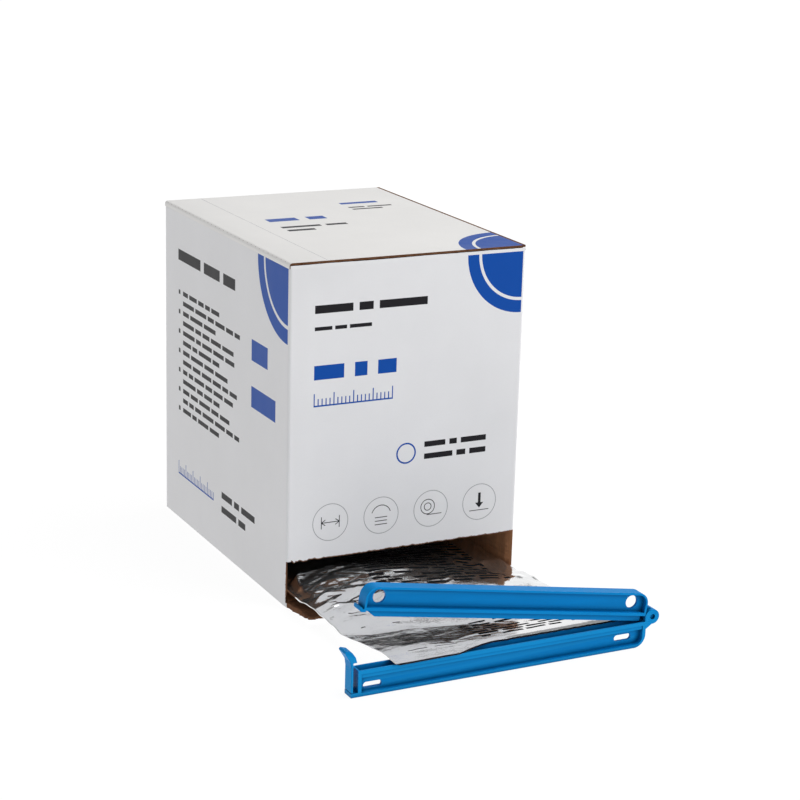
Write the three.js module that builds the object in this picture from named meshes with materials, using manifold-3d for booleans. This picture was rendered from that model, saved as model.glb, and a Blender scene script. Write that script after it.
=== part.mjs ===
// A padded splint strip in its film sleeve, wound on a roll in a dispenser carton,
// with the clamp that closes the drawn-out end of the sleeve.
// Millimetres. X runs to the right along the carton's front, Y towards its back, Z up.
// The origin is the middle of the carton's underside.

import * as THREE from 'three';
import { mergeVertices } from 'three/addons/utils/BufferGeometryUtils.js';
import Module from 'manifold-3d';

// Gap between neighbouring pieces
const GAP = 0.3;

// Splint strip: a felt pad in a flattened film tube
const PAD_WIDTH = 101;
const PAD_THICKNESS = 4;
const PAD_INSET = 9.5;
const FILM = 0.4;
const SLEEVE_WIDTH = 145;
const FLAT_VOID = 0.3;

// Roll
const ROLL_RADIUS = 90;
const CORE_RADIUS = 15;
const SEGMENTS_PER_TURN = 28;

// Carton
const BOARD = 3;
const SIDE_CLEARANCE = 0.5;
const ROLL_CLEARANCE = 6;
const HEADROOM = 19.4;
const OPENING_HEIGHT = 28.6;
const FOLD_RADIUS = 1.8;
const TEAR_DEPTH = 1.2;
const LIP_LENGTH = 28;
const LIP_RISE = 2;
const LIP_INSET = 1.5;
const LIP_TAPER = 2;

// Drawn-out end of the sleeve
const SLEEVE_OVERHANG = 2;
const PAD_REACH = 38;
const PUFF_HEIGHT = 11;
const SLEEVE_DRIFT = 2;

// Clamp
const CLAMP_REACH = 131;
const CLAMP_DEPTH = 8;
const HINGE_OUT = 16.3;
const HINGE_HEIGHT = 17.2;
const LATCH_OUT = 15.6;
const ARM_TOP = 14.8;
const RIM_WIDTH = 1;
const RIM_HEIGHT = 2.2;
const WEB = 1.6;
const FLOOR_THICKNESS = 1.6;
const FRAME_WIDTH = 2;
const PANEL_BOTTOM = 1.9;
const LOWER_FROM_HINGE = 4.2;
const LOWER_CORNER = 11;
const UPPER_HEIGHT = 13.6;
const UPPER_RIM = 1.2;
const FLANGE_BOTTOM = 0.3;
const FLANGE_TOP = 2.1;
const UPPER_OUTER_CORNER = 11;
const UPPER_HINGE_CORNER = 10;
const BLADE_WIDTH = 3.6;
const BLADE_DROP = 3.4;
const BLADE_INSET = 2;
const BLADE_CHAMFER = 5.8;
const UPPER_FROM_HINGE = 5.1;
const BOSS_RADIUS = 4.3;
const PIN_RADIUS = 1.3;
const PIN_RECESS = 1.2;
const EYE_WIDTH = 3;
const HOLE_RADIUS = 3.8;
const HOLE_HEIGHT = 7.5;
const HOLE_FROM_HINGE = 14.2;
const HOLE_FROM_TIP = 9.3;
const SLOT_LENGTH = 11;
const SLOT_WIDTH = 3.6;
const SLOT_FROM_HINGE = 17.6;
const SLOT_FROM_LATCH = 9.9;
const HINGE_SLOT_HEIGHT = 6.3;
const LATCH_SLOT_HEIGHT = 4.7;
const OPEN_ANGLE = THREE.MathUtils.degToRad(9.7);

// Latch tongue
const LEAF = 1.2;
const LATCH_SLOT = 2.9;
const FOOT_HEIGHT = 2.4;
const NIB_LENGTH = 2.3;
const NIB_HEIGHT = 2.1;
const NIB_DROP = 0.4;
const BARB_REACH = 3.3;
const BARB_TOP = 27;

// Sizes that follow
const STRIP = PAD_THICKNESS + 2 * (FILM + GAP);
const PITCH = STRIP + GAP;
const FLAT = 2 * FILM + FLAT_VOID;
const CARTON_WIDTH = SLEEVE_WIDTH + 2 * (SIDE_CLEARANCE + BOARD);
const CARTON_DEPTH = 2 * (ROLL_RADIUS + ROLL_CLEARANCE + BOARD);
const CARTON_HEIGHT = 2 * ROLL_RADIUS + HEADROOM + 2 * (BOARD + GAP);
const FRONT = -CARTON_DEPTH / 2;
const FLOOR = BOARD + GAP;
const CLAMP_FRONT = FRONT - CLAMP_REACH;
const CLAMP_BACK = CLAMP_FRONT + CLAMP_DEPTH;
const CLAMP_MIDDLE = CLAMP_FRONT + CLAMP_DEPTH / 2;
const HINGE_X = CARTON_WIDTH / 2 + HINGE_OUT;
const JAMB = CARTON_WIDTH + HINGE_OUT + LATCH_OUT;
const RECESS = (CLAMP_DEPTH - WEB) / 2;
const SLEEVE_ON_ARM = ARM_TOP + GAP;
const BLADE_CLOSED = HINGE_HEIGHT - BLADE_DROP;
const SLEEVE_IN_CHANNEL = BLADE_CLOSED - GAP - FLAT;
const CHANNEL_FLOOR = SLEEVE_IN_CHANNEL - GAP;

const COLOURS = {
  board: { color: 0xdedee2, roughness: 0.6, metalness: 0 },
  kraft: { color: 0x96603c, roughness: 0.85, metalness: 0 },
  film: { color: 0xc4c6c8, roughness: 0.22, metalness: 1 },
  felt: { color: 0xe6e4dc, roughness: 0.95, metalness: 0 },
  plastic: { color: 0x0078c4, roughness: 0.38, metalness: 0 },
};

const wasm = await Module();
wasm.setup();

// Solids and geometries

function solidFrom(geometry) {
  const bare = geometry.clone();
  bare.deleteAttribute('normal');
  bare.deleteAttribute('uv');
  const merged = mergeVertices(bare, 1e-4);
  return new wasm.Manifold(new wasm.Mesh({
    numProp: 3,
    vertProperties: new Float32Array(merged.attributes.position.array),
    triVerts: new Uint32Array(merged.index.array),
  }));
}

function geometryFrom(solid) {
  const mesh = solid.getMesh();
  const geometry = new THREE.BufferGeometry();
  geometry.setAttribute('position', new THREE.BufferAttribute(mesh.vertProperties, 3));
  geometry.setIndex(new THREE.BufferAttribute(mesh.triVerts, 1));
  const faceted = geometry.toNonIndexed();
  faceted.computeVertexNormals();
  return faceted;
}

function join(solids) {
  return solids.reduce((whole, piece) => whole.add(piece));
}

// An outline whose corners are [x, y, fillet radius]; a radius of 0 keeps the corner sharp.
function outline(corners) {
  const points = corners.map(([x, y]) => new THREE.Vector2(x, y));
  const shape = new THREE.Shape();
  corners.forEach(([, , radius], i) => {
    const corner = points[i];
    const before = points[(i + points.length - 1) % points.length].clone().sub(corner);
    const after = points[(i + 1) % points.length].clone().sub(corner);
    const half = Math.acos(before.dot(after) / (before.length() * after.length())) / 2;
    const back = Math.min(radius / Math.tan(half), before.length() / 2.02, after.length() / 2.02);
    const start = corner.clone().addScaledVector(before.normalize(), back);
    const end = corner.clone().addScaledVector(after.normalize(), back);
    if (i === 0) {
      shape.moveTo(start.x, start.y);
    } else {
      shape.lineTo(start.x, start.y);
    }
    if (radius > 0) {
      const toCentre = before.clone().add(after).normalize();
      const centre = corner.clone().addScaledVector(toCentre, back / Math.cos(half));
      const a = Math.atan2(start.y - centre.y, start.x - centre.x);
      const b = Math.atan2(end.y - centre.y, end.x - centre.x);
      const clockwise = before.cross(after) > 0;
      shape.absarc(centre.x, centre.y, back * Math.tan(half), a, b, clockwise);
    }
  });
  return shape;
}

// Prisms from an outline in the plane named, running along the third axis.
function prismAlongZ(shape, from, length, curveSegments = 6) {
  const geometry = new THREE.ExtrudeGeometry(shape, { depth: length, bevelEnabled: false, curveSegments });
  return solidFrom(geometry.translate(0, 0, from));
}

function prismAlongY(shape, from, length, curveSegments = 6) {
  const geometry = new THREE.ExtrudeGeometry(shape, { depth: length, bevelEnabled: false, curveSegments });
  return solidFrom(geometry.rotateX(Math.PI / 2).translate(0, from + length, 0));
}

function prismAlongX(shape, from, length) {
  const geometry = new THREE.ExtrudeGeometry(shape, { depth: length, bevelEnabled: false });
  const turn = new THREE.Matrix4().set(0, 0, 1, from, 1, 0, 0, 0, 0, 1, 0, 0, 0, 0, 0, 1);
  return solidFrom(geometry.applyMatrix4(turn));
}

function block(low, high) {
  const size = high.map((value, i) => value - low[i]);
  const middle = high.map((value, i) => (value + low[i]) / 2);
  return solidFrom(new THREE.BoxGeometry(...size).translate(...middle));
}

function rodAlongY(radius, x, z, from, to, sides = 16) {
  const geometry = new THREE.CylinderGeometry(radius, radius, to - from, sides);
  return solidFrom(geometry.translate(x, (from + to) / 2, z));
}

// A closed skin over rings of points that all have the same count.
function loft(rings) {
  const count = rings[0].length;
  const position = rings.flat(2);
  const index = [];
  for (let r = 0; r + 1 < rings.length; r += 1) {
    for (let i = 0; i < count; i += 1) {
      const a = r * count + i;
      const b = r * count + ((i + 1) % count);
      index.push(a, b, b + count, a, b + count, a + count);
    }
  }
  const last = (rings.length - 1) * count;
  const half = count / 2;
  for (let i = 0; i + 1 < half; i += 1) {
    const j = count - 1 - i;
    index.push(i, j, j - 1, i, j - 1, i + 1);
    index.push(last + i, last + j - 1, last + j, last + i, last + i + 1, last + j - 1);
  }
  const geometry = new THREE.BufferGeometry();
  geometry.setAttribute('position', new THREE.Float32BufferAttribute(position, 3));
  geometry.setIndex(index);
  return solidFrom(geometry);
}

function smooth(from, to, value) {
  return THREE.MathUtils.smoothstep(value, from, to);
}

function mix(a, b, share) {
  return a + (b - a) * share;
}

// Carton

function cartonOutline(inset, radius) {
  const x = CARTON_WIDTH / 2 - inset;
  const y = CARTON_DEPTH / 2 - inset;
  return outline([[-x, -y, radius], [x, -y, radius], [x, y, radius], [-x, y, radius]]);
}

function cartonBody() {
  const top = CARTON_HEIGHT - BOARD - GAP;
  const cavity = prismAlongZ(cartonOutline(BOARD, 0), BOARD, CARTON_HEIGHT);
  const side = CARTON_WIDTH / 2;
  const tear = block([-side - 1, FRONT - 1, BOARD], [side + 1, FRONT + TEAR_DEPTH, OPENING_HEIGHT]);
  const window = block(
    [-side + BOARD, FRONT - 1, BOARD],
    [side - BOARD, FRONT + 2 * BOARD, OPENING_HEIGHT],
  );
  return prismAlongZ(cartonOutline(0, FOLD_RADIUS), 0, top, 3).subtract(cavity).subtract(tear).subtract(window);
}

function cartonTopFlap() {
  const x = CARTON_WIDTH / 2;
  const z = CARTON_HEIGHT;
  const shape = outline([[-x, z - BOARD, 0], [x, z - BOARD, 0], [x, z, 0], [-x, z, FOLD_RADIUS]]);
  return prismAlongY(shape, FRONT, CARTON_DEPTH, 4);
}

// The torn part of the front, folded out onto the surface that the carton stands on.
function dispensingLip() {
  const STATIONS = [0, 0.35, 0.7, 1];
  return loft(STATIONS.map((along) => {
    const y = FRONT - GAP - along * LIP_LENGTH;
    const x = CARTON_WIDTH / 2 - LIP_INSET - along * LIP_TAPER;
    const low = LIP_RISE * along ** 2;
    return [[-x, y, low], [x, y, low], [x, y, low + BOARD], [-x, y, low + BOARD]];
  }));
}

// Roll: a spiral of the sleeved strip that unwinds from its lowest point towards the front.
function splintRoll() {
  const turns = (ROLL_RADIUS - STRIP - CORE_RADIUS) / PITCH;
  const steps = Math.round(turns * SEGMENTS_PER_TURN);
  const axisHeight = FLOOR + ROLL_RADIUS;
  const pointAt = (step, thickness) => {
    const share = step / steps;
    const radius = CORE_RADIUS + share * turns * PITCH + thickness;
    const angle = -Math.PI / 2 + ((steps - step) / SEGMENTS_PER_TURN) * 2 * Math.PI;
    return new THREE.Vector2(radius * Math.cos(angle), axisHeight + radius * Math.sin(angle));
  };
  const inner = [];
  const outer = [];
  for (let step = 0; step <= steps; step += 1) {
    inner.push(pointAt(step, 0));
    outer.push(pointAt(step, STRIP));
  }
  const shape = new THREE.Shape(outer.concat(inner.reverse()));
  return prismAlongX(shape, -SLEEVE_WIDTH / 2, SLEEVE_WIDTH);
}

// Drawn-out strip, from the roll's foot to the clamp's back face.
// along: share of that run. rise: share of the climb onto the lower arm. pad: 1 where the pad fills
// the sleeve. puff: share of the puff height. drift: share of the sideways drift.
const RUN = [
  { along: 0.0, rise: 0.0, pad: 1, puff: 0.0, drift: 0.0 },
  { along: 0.12, rise: 0.0, pad: 1, puff: 0.03, drift: 0.0 },
  { along: 0.26, rise: 0.0, pad: 1, puff: 0.2, drift: 0.0 },
  { along: 0.36, rise: 0.0, pad: 1, puff: 0.62, drift: 0.0 },
  { along: 0.44, rise: 0.01, pad: 1, puff: 1.0, drift: 0.0 },
  { along: 0.5, rise: 0.08, pad: 1, puff: 0.66, drift: 0.1 },
  { along: 0.57, rise: 0.2, pad: 1, puff: 0.3, drift: 0.2 },
  { along: 0.63, rise: 0.25, pad: 1, puff: 0.1, drift: 0.3 },
  { along: 0.7, rise: 0.42, pad: 0.3, puff: 0.1, drift: 0.5 },
  { along: 0.77, rise: 0.62, pad: 0, puff: 0.06, drift: 0.6 },
  { along: 0.85, rise: 0.82, pad: 0, puff: 0.03, drift: 0.8 },
  { along: 0.93, rise: 0.96, pad: 0, puff: 0.0, drift: 0.9 },
  { along: 0.98, rise: 1.0, pad: 0, puff: 0.0, drift: 1.0 },
];

// Where the sleeve lies on the clamp's lower arm, and the crease that the blade has pressed in it.
function sleeveOnClamp() {
  const channel = CLAMP_DEPTH / 2 - RIM_WIDTH - GAP;
  const crease = BLADE_WIDTH / 2 + GAP;
  return [
    { y: CLAMP_MIDDLE + channel, under: SLEEVE_ON_ARM },
    { y: CLAMP_MIDDLE + crease, under: SLEEVE_IN_CHANNEL },
    { y: CLAMP_MIDDLE - crease, under: SLEEVE_IN_CHANNEL },
    { y: CLAMP_MIDDLE - channel, under: SLEEVE_ON_ARM },
    { y: CLAMP_FRONT - SLEEVE_OVERHANG, under: SLEEVE_ON_ARM },
  ].map((row) => ({ ...row, pad: 0, puff: 0, drift: SLEEVE_DRIFT }));
}

function sleeveStations() {
  const start = -GAP;
  const run = RUN.map((row) => ({
    y: mix(start, CLAMP_BACK, row.along),
    under: mix(FLOOR, SLEEVE_ON_ARM, row.rise),
    pad: row.pad,
    puff: row.puff * PUFF_HEIGHT,
    drift: row.drift * SLEEVE_DRIFT,
  }));
  return run.concat(sleeveOnClamp());
}

const PAD_FROM = PAD_INSET / SLEEVE_WIDTH;
const PAD_TO = (PAD_INSET + PAD_WIDTH) / SLEEVE_WIDTH;
const RIGHT_SLOPE = 0.12;
const PUFF_SKEW = 0.6;

// Underside and top of the sleeve at a station, for a share across from its left seam.
function sleeveAt(station, across) {
  const filled = smooth(0, PAD_FROM * 0.9, across) * (1 - smooth(PAD_TO * 1.01, PAD_TO + RIGHT_SLOPE, across));
  const fill = filled * station.pad;
  const seamLift = ((STRIP - FLAT) / 2) * station.pad * (1 - filled);
  const puff = station.puff * Math.sin(Math.PI * across ** PUFF_SKEW) ** 1.5;
  const low = station.under + seamLift;
  return { low, high: low + mix(FLAT, STRIP, fill) + puff };
}

const ACROSS = [0, 0.03, 0.065, 0.13, 0.22, 0.32, 0.43, 0.54, 0.65, 0.77, 0.83, 0.89, 0.95, 1];

function sleeveRing(station, wall, y = station.y) {
  const left = -SLEEVE_WIDTH / 2 + station.drift + wall;
  const width = SLEEVE_WIDTH - 2 * wall;
  const under = [];
  const over = [];
  for (const across of ACROSS) {
    const x = left + width * across;
    const { low, high } = sleeveAt(station, (wall + width * across) / SLEEVE_WIDTH);
    under.push([x, y, low + wall]);
    over.push([x, y, high - wall]);
  }
  return under.concat(over.reverse());
}

// The cut front edge. across: share from the left seam. back: share of the clamp's depth that
// the edge lies behind the end of the sleeve.
const FRONT_EDGE = [
  { across: -0.05, back: -0.05 },
  { across: 0.02, back: -0.05 },
  { across: 0.12, back: 0.04 },
  { across: 0.28, back: 0.1 },
  { across: 0.4, back: 0.5 },
  { across: 0.52, back: 0.82 },
  { across: 0.75, back: 0.88 },
  { across: 1.05, back: 0.84 },
];

function beyondFrontEdge() {
  const front = CLAMP_FRONT - SLEEVE_OVERHANG;
  const edge = FRONT_EDGE.map(({ across, back }) => new THREE.Vector2(
    SLEEVE_DRIFT + (across - 0.5) * SLEEVE_WIDTH,
    front + back * CLAMP_DEPTH,
  ));
  const left = new THREE.Vector2(edge[0].x, front - CLAMP_DEPTH);
  const right = new THREE.Vector2(edge[edge.length - 1].x, front - CLAMP_DEPTH);
  return prismAlongZ(new THREE.Shape([...edge, right, left]), 0, CARTON_HEIGHT);
}

function foilSleeve() {
  const stations = sleeveStations();
  const first = stations[0];
  const last = stations[stations.length - 1];
  const outer = stations.map((station) => sleeveRing(station, 0));
  const inner = stations.map((station) => sleeveRing(station, FILM));
  inner.unshift(sleeveRing(first, FILM, first.y + 1));
  inner.push(sleeveRing(last, FILM, last.y - 1));
  return loft(outer).subtract(loft(inner)).subtract(beyondFrontEdge());
}

// The station that lies at y, between the two stations beside it.
function stationAt(y) {
  const stations = sleeveStations();
  const next = Math.max(1, stations.findIndex((station) => station.y <= y));
  const [a, b] = [stations[next - 1], stations[next]];
  const share = (y - a.y) / (b.y - a.y);
  const between = { y };
  for (const key of ['under', 'pad', 'puff', 'drift']) {
    between[key] = mix(a[key], b[key], share);
  }
  return between;
}

function splintPad() {
  const end = FRONT - PAD_REACH;
  const inside = sleeveStations().filter((station) => station.y > end);
  const stations = inside.concat(stationAt(end));
  const left = -SLEEVE_WIDTH / 2 + PAD_INSET;
  return loft(stations.map((station) => {
    const low = station.under + FILM + GAP;
    const from = left + station.drift;
    const to = from + PAD_WIDTH;
    const high = low + PAD_THICKNESS;
    return [[from, station.y, low], [to, station.y, low], [to, station.y, high], [from, station.y, high]];
  }));
}

// Clamp. Outlines are drawn from the hinge axis: x to the right, z up from the surface for the
// lower arm and from the hinge axis for the upper arm.

function clampPrism(corners, from = CLAMP_FRONT, length = CLAMP_DEPTH, curveSegments = 5) {
  return prismAlongY(outline(corners), from, length, curveSegments);
}

function bothFaces(corners, depth, curveSegments) {
  const front = clampPrism(corners, CLAMP_FRONT - 1, depth + 1, curveSegments);
  const back = clampPrism(corners, CLAMP_BACK - depth, depth + 1, curveSegments);
  return front.add(back);
}

function slotThrough(middle, height) {
  const x = SLOT_LENGTH / 2;
  const z = SLOT_WIDTH / 2;
  const shape = [
    [middle - x, height - z, z * 0.99],
    [middle + x, height - z, z * 0.99],
    [middle + x, height + z, z * 0.99],
    [middle - x, height + z, z * 0.99],
  ];
  return clampPrism(shape, CLAMP_FRONT - 1, CLAMP_DEPTH + 2, 3);
}

function clampLowerArm() {
  const right = -LOWER_FROM_HINGE;
  const foot = -JAMB - LATCH_SLOT - LEAF;
  const body = clampPrism([
    [foot, 0, 0],
    [right, 0, LOWER_CORNER],
    [right, ARM_TOP, 0],
    [-JAMB, ARM_TOP, 0],
    [-JAMB, FOOT_HEIGHT, 0],
    [foot, FOOT_HEIGHT, 0],
  ]);
  const bandBottom = CHANNEL_FLOOR - FLOOR_THICKNESS;
  const panel = bothFaces([
    [-JAMB + FRAME_WIDTH, PANEL_BOTTOM, 0],
    [right - FRAME_WIDTH, PANEL_BOTTOM, LOWER_CORNER - FRAME_WIDTH],
    [right - FRAME_WIDTH, bandBottom, 0],
    [-JAMB + FRAME_WIDTH, bandBottom, 0],
  ], RECESS);
  const band = bothFaces([
    [-JAMB + FRAME_WIDTH, bandBottom - 0.1, 0],
    [right - FRAME_WIDTH, bandBottom - 0.1, 0],
    [right - FRAME_WIDTH, ARM_TOP - RIM_HEIGHT, 0],
    [-JAMB + FRAME_WIDTH, ARM_TOP - RIM_HEIGHT, 0],
  ], RIM_WIDTH / 2);
  const channel = clampPrism([
    [-JAMB + FRAME_WIDTH / 2, CHANNEL_FLOOR, 0],
    [right + 1, CHANNEL_FLOOR, 0],
    [right + 1, ARM_TOP + 1, 0],
    [-JAMB + FRAME_WIDTH / 2, ARM_TOP + 1, 0],
  ], CLAMP_FRONT + RIM_WIDTH, CLAMP_DEPTH - 2 * RIM_WIDTH);
  const slots = slotThrough(-JAMB + SLOT_FROM_LATCH, LATCH_SLOT_HEIGHT)
    .add(slotThrough(-SLOT_FROM_HINGE, HINGE_SLOT_HEIGHT));
  const lobe = UPPER_FROM_HINGE - GAP - BOSS_RADIUS;
  const neck = clampPrism([
    [right - RIM_WIDTH, HINGE_HEIGHT - 2 * BOSS_RADIUS, 0],
    [right, HINGE_HEIGHT - 1.6 * BOSS_RADIUS, 0],
    [-BOSS_RADIUS * 0.1, HINGE_HEIGHT - BOSS_RADIUS, 0],
    [-BOSS_RADIUS * 0.1, HINGE_HEIGHT - GAP, 0],
    [-lobe - BOSS_RADIUS, HINGE_HEIGHT - GAP, 0],
    [-lobe - BOSS_RADIUS, HINGE_HEIGHT - BOSS_RADIUS, 0],
    [right - RIM_WIDTH, HINGE_HEIGHT - BOSS_RADIUS, 0],
  ]);
  const boss = [0, -lobe].map((x) => (
    rodAlongY(BOSS_RADIUS, x, HINGE_HEIGHT, CLAMP_FRONT, CLAMP_BACK, 24)
  ));
  const eyeRoom = EYE_WIDTH / 2 + GAP;
  const eyeSlot = rodAlongY(
    UPPER_FROM_HINGE + GAP, 0, HINGE_HEIGHT, CLAMP_MIDDLE - eyeRoom, CLAMP_MIDDLE + eyeRoom, 24,
  );
  const bore = rodAlongY(PIN_RADIUS + GAP, 0, HINGE_HEIGHT, CLAMP_FRONT - 1, CLAMP_BACK + 1);
  return body.subtract(panel).subtract(band).subtract(slots).subtract(channel)
    .add(neck).add(join(boss)).subtract(eyeSlot).subtract(bore);
}

// The springy leaf on the lower arm's foot, with the barb that catches the upper arm's nib.
function latchTongue() {
  const inner = -JAMB - LATCH_SLOT;
  const outer = inner - LEAF;
  const catchHeight = HINGE_HEIGHT + NIB_HEIGHT + GAP;
  return clampPrism([
    [outer, FOOT_HEIGHT + GAP, 0],
    [inner, FOOT_HEIGHT + GAP, 0],
    [inner, catchHeight, 0],
    [inner + BARB_REACH - LEAF * 0.9, catchHeight, 0],
    [inner + LEAF * 1.1, mix(catchHeight, BARB_TOP, 0.42), 2],
    [inner - LEAF * 0.8, mix(catchHeight, BARB_TOP, 0.86), 2],
    [outer - LEAF * 2.8, BARB_TOP, 0.6],
    [outer - LEAF * 3.4, BARB_TOP - LEAF * 0.9, 0.4],
    [outer - LEAF * 2.2, mix(catchHeight, BARB_TOP, 0.55), 3],
    [outer - LEAF * 0.5, mix(catchHeight, BARB_TOP, 0.1), 3],
    [outer, catchHeight - 3, 2],
  ]);
}

function clampUpperArm() {
  const right = -UPPER_FROM_HINGE;
  const tip = -JAMB - FLANGE_BOTTOM;
  const body = clampPrism([
    [tip, FLANGE_BOTTOM, 0],
    [right, FLANGE_BOTTOM, 0],
    [right, UPPER_HEIGHT, UPPER_HINGE_CORNER],
    [tip, UPPER_HEIGHT, UPPER_OUTER_CORNER],
  ], CLAMP_FRONT, CLAMP_DEPTH, 7);
  const pocket = bothFaces([
    [tip + UPPER_RIM, FLANGE_TOP, 0],
    [right - UPPER_RIM, FLANGE_TOP, 0],
    [right - UPPER_RIM, UPPER_HEIGHT - UPPER_RIM, UPPER_HINGE_CORNER - UPPER_RIM],
    [tip + UPPER_RIM, UPPER_HEIGHT - UPPER_RIM, UPPER_OUTER_CORNER - UPPER_RIM],
  ], RECESS, 7);
  const blade = clampPrism([
    [tip + BLADE_INSET + BLADE_CHAMFER, -BLADE_DROP, 0],
    [right - BLADE_INSET, -BLADE_DROP, 0],
    [right - BLADE_INSET, FLANGE_BOTTOM + 0.1, 0],
    [tip + BLADE_INSET, FLANGE_BOTTOM + 0.1, 0],
  ], CLAMP_MIDDLE - BLADE_WIDTH / 2, BLADE_WIDTH);
  const nib = clampPrism([
    [tip - NIB_LENGTH, NIB_DROP, 0],
    [tip - NIB_LENGTH + NIB_DROP * 2, -NIB_DROP, 0],
    [tip + UPPER_RIM, -NIB_DROP, 0],
    [tip + UPPER_RIM, NIB_HEIGHT * 0.6, 0],
    [tip - NIB_LENGTH * 0.5, NIB_HEIGHT * 0.6, 0],
    [tip - NIB_LENGTH * 0.5, NIB_HEIGHT, 0],
    [tip - NIB_LENGTH, NIB_HEIGHT, 0],
  ]);
  const eyeFront = CLAMP_MIDDLE - EYE_WIDTH / 2;
  const eye = rodAlongY(BOSS_RADIUS, 0, 0, eyeFront, eyeFront + EYE_WIDTH, 24);
  const neck = clampPrism([
    [right - 1, FLANGE_BOTTOM, 0],
    [0, -BOSS_RADIUS * 0.5, 0],
    [0, BOSS_RADIUS, 0],
    [right * 0.6, BOSS_RADIUS * 1.25, 0],
    [right - 1, BOSS_RADIUS * 1.9, 0],
  ], eyeFront, EYE_WIDTH);
  const bore = rodAlongY(PIN_RADIUS + GAP, 0, 0, CLAMP_FRONT - 1, CLAMP_BACK + 1);
  const holes = [-HOLE_FROM_HINGE, tip + HOLE_FROM_TIP].map((x) => (
    rodAlongY(HOLE_RADIUS, x, HOLE_HEIGHT, CLAMP_FRONT - 1, CLAMP_BACK + 1, 20)
  ));
  return body.subtract(pocket).subtract(join(holes)).add(blade).add(nib).add(eye).add(neck).subtract(bore);
}

function hingePin() {
  return rodAlongY(PIN_RADIUS, 0, 0, CLAMP_FRONT + PIN_RECESS, CLAMP_BACK - PIN_RECESS);
}

// Assembly

function piece(name, solid, colour) {
  const mesh = new THREE.Mesh(geometryFrom(solid), new THREE.MeshStandardMaterial(COLOURS[colour]));
  mesh.name = name;
  return mesh;
}

const group = new THREE.Group();

const carton = new THREE.Group();
carton.add(piece('carton_body', cartonBody(), 'board'));
carton.add(piece('carton_top_flap', cartonTopFlap(), 'board'));
carton.add(piece('dispensing_lip', dispensingLip(), 'kraft'));
group.add(carton);

const splint = new THREE.Group();
splint.add(piece('splint_roll', splintRoll(), 'film'));
splint.add(piece('foil_sleeve', foilSleeve(), 'film'));
splint.add(piece('splint_pad', splintPad(), 'felt'));
group.add(splint);

const clamp = new THREE.Group();
clamp.position.set(HINGE_X, 0, 0);
clamp.add(piece('clamp_lower_arm', clampLowerArm(), 'plastic'));
clamp.add(piece('latch_tongue', latchTongue(), 'plastic'));
const hinge = new THREE.Group();
hinge.position.set(0, 0, HINGE_HEIGHT);
hinge.add(piece('hinge_pin', hingePin(), 'plastic'));
const upperArm = new THREE.Group();
upperArm.rotation.set(0, OPEN_ANGLE, 0);
upperArm.add(piece('clamp_upper_arm', clampUpperArm(), 'plastic'));
hinge.add(upperArm);
clamp.add(hinge);
group.add(clamp);

export default group;
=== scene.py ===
# Looks of a padded splint strip on a roll: printed dispenser carton, film sleeve, felt pad
# and the clamp on the sleeve's end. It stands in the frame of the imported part. Sizes and places
# are in millimetres, and MM turns them into the frame's metres.

import math
import random

import bmesh
import bpy
import numpy as np
from mathutils import Matrix, Vector, geometry, noise
from mathutils.bvhtree import BVHTree


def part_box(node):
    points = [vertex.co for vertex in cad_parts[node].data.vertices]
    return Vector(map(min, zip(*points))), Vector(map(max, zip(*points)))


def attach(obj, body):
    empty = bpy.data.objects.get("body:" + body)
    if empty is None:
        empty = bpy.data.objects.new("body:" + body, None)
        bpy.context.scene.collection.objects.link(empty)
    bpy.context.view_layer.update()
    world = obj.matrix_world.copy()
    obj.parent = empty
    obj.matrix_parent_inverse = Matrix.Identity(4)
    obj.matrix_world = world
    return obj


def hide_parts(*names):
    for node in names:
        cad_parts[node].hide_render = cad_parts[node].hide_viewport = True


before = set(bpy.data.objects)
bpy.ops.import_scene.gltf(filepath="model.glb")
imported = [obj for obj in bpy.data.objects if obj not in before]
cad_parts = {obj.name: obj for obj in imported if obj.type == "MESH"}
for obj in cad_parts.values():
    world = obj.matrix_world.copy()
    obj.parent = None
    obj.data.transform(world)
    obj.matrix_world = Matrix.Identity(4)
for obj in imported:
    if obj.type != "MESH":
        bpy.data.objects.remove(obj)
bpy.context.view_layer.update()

MM = 0.001

# The sleeve's width from seam to seam, and the length that one unit of its UV map stands for.
SLEEVE_WIDTH = 145.0
SLEEVE_LENGTH = 235.0

# Linear colours
PAPER = (0.80, 0.80, 0.815)
# A lighter, warmer copy of PAPER for the carton's top: painted light from above on the same board.
LIT_TOP_PAPER = (0.86, 0.85, 0.835)
KRAFT = (0.56, 0.26, 0.125)
KRAFT_DARK = (0.075, 0.026, 0.012)
INK_BLUE = (0.0, 0.070, 0.38)
INK_BLACK = (0.012, 0.011, 0.014)
INK_GREY = (0.36, 0.36, 0.38)
PLASTIC = (0.0, 0.225, 0.60)
FILM = (0.88, 0.885, 0.89)
FELT = (0.80, 0.78, 0.72)
# A paler blue, painted as a highlight on the clamp's sharp edges.
EDGE_HIGHLIGHT_BLUE = (0.01, 0.30, 0.66)
FILM_INK = (0.012, 0.012, 0.013)


def table(columns, *rows):
    """Rows with named columns."""
    return [dict(zip(columns.split(), row)) for row in rows]


def box_mm(node):
    """Lowest and highest corner of a CAD node."""
    return [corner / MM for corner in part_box(node)]


# Meshes

def add_object(name, mesh, *materials):
    """Links a mesh as a piece. materials: their names in MATERIALS, one for each face number."""
    for material in materials:
        mesh.materials.append(MATERIALS[material])
    piece = bpy.data.objects.new(name, mesh)
    bpy.context.collection.objects.link(piece)
    return piece


def add_mesh(name, points, faces, *materials, inks=None, scale=MM):
    """A piece from points and faces. inks: the number of each face's material."""
    mesh = bpy.data.meshes.new(name)
    mesh.from_pydata([Vector(point) * scale for point in points], [], faces)
    if inks is not None:
        mesh.polygons.foreach_set("material_index", inks)
    work = bmesh.new()
    work.from_mesh(mesh)
    bmesh.ops.remove_doubles(work, verts=work.verts, dist=0.5e-6)
    bmesh.ops.recalc_face_normals(work, faces=work.faces)
    work.to_mesh(mesh)
    work.free()
    mesh.update()
    return add_object(name, mesh, *materials)


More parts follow.
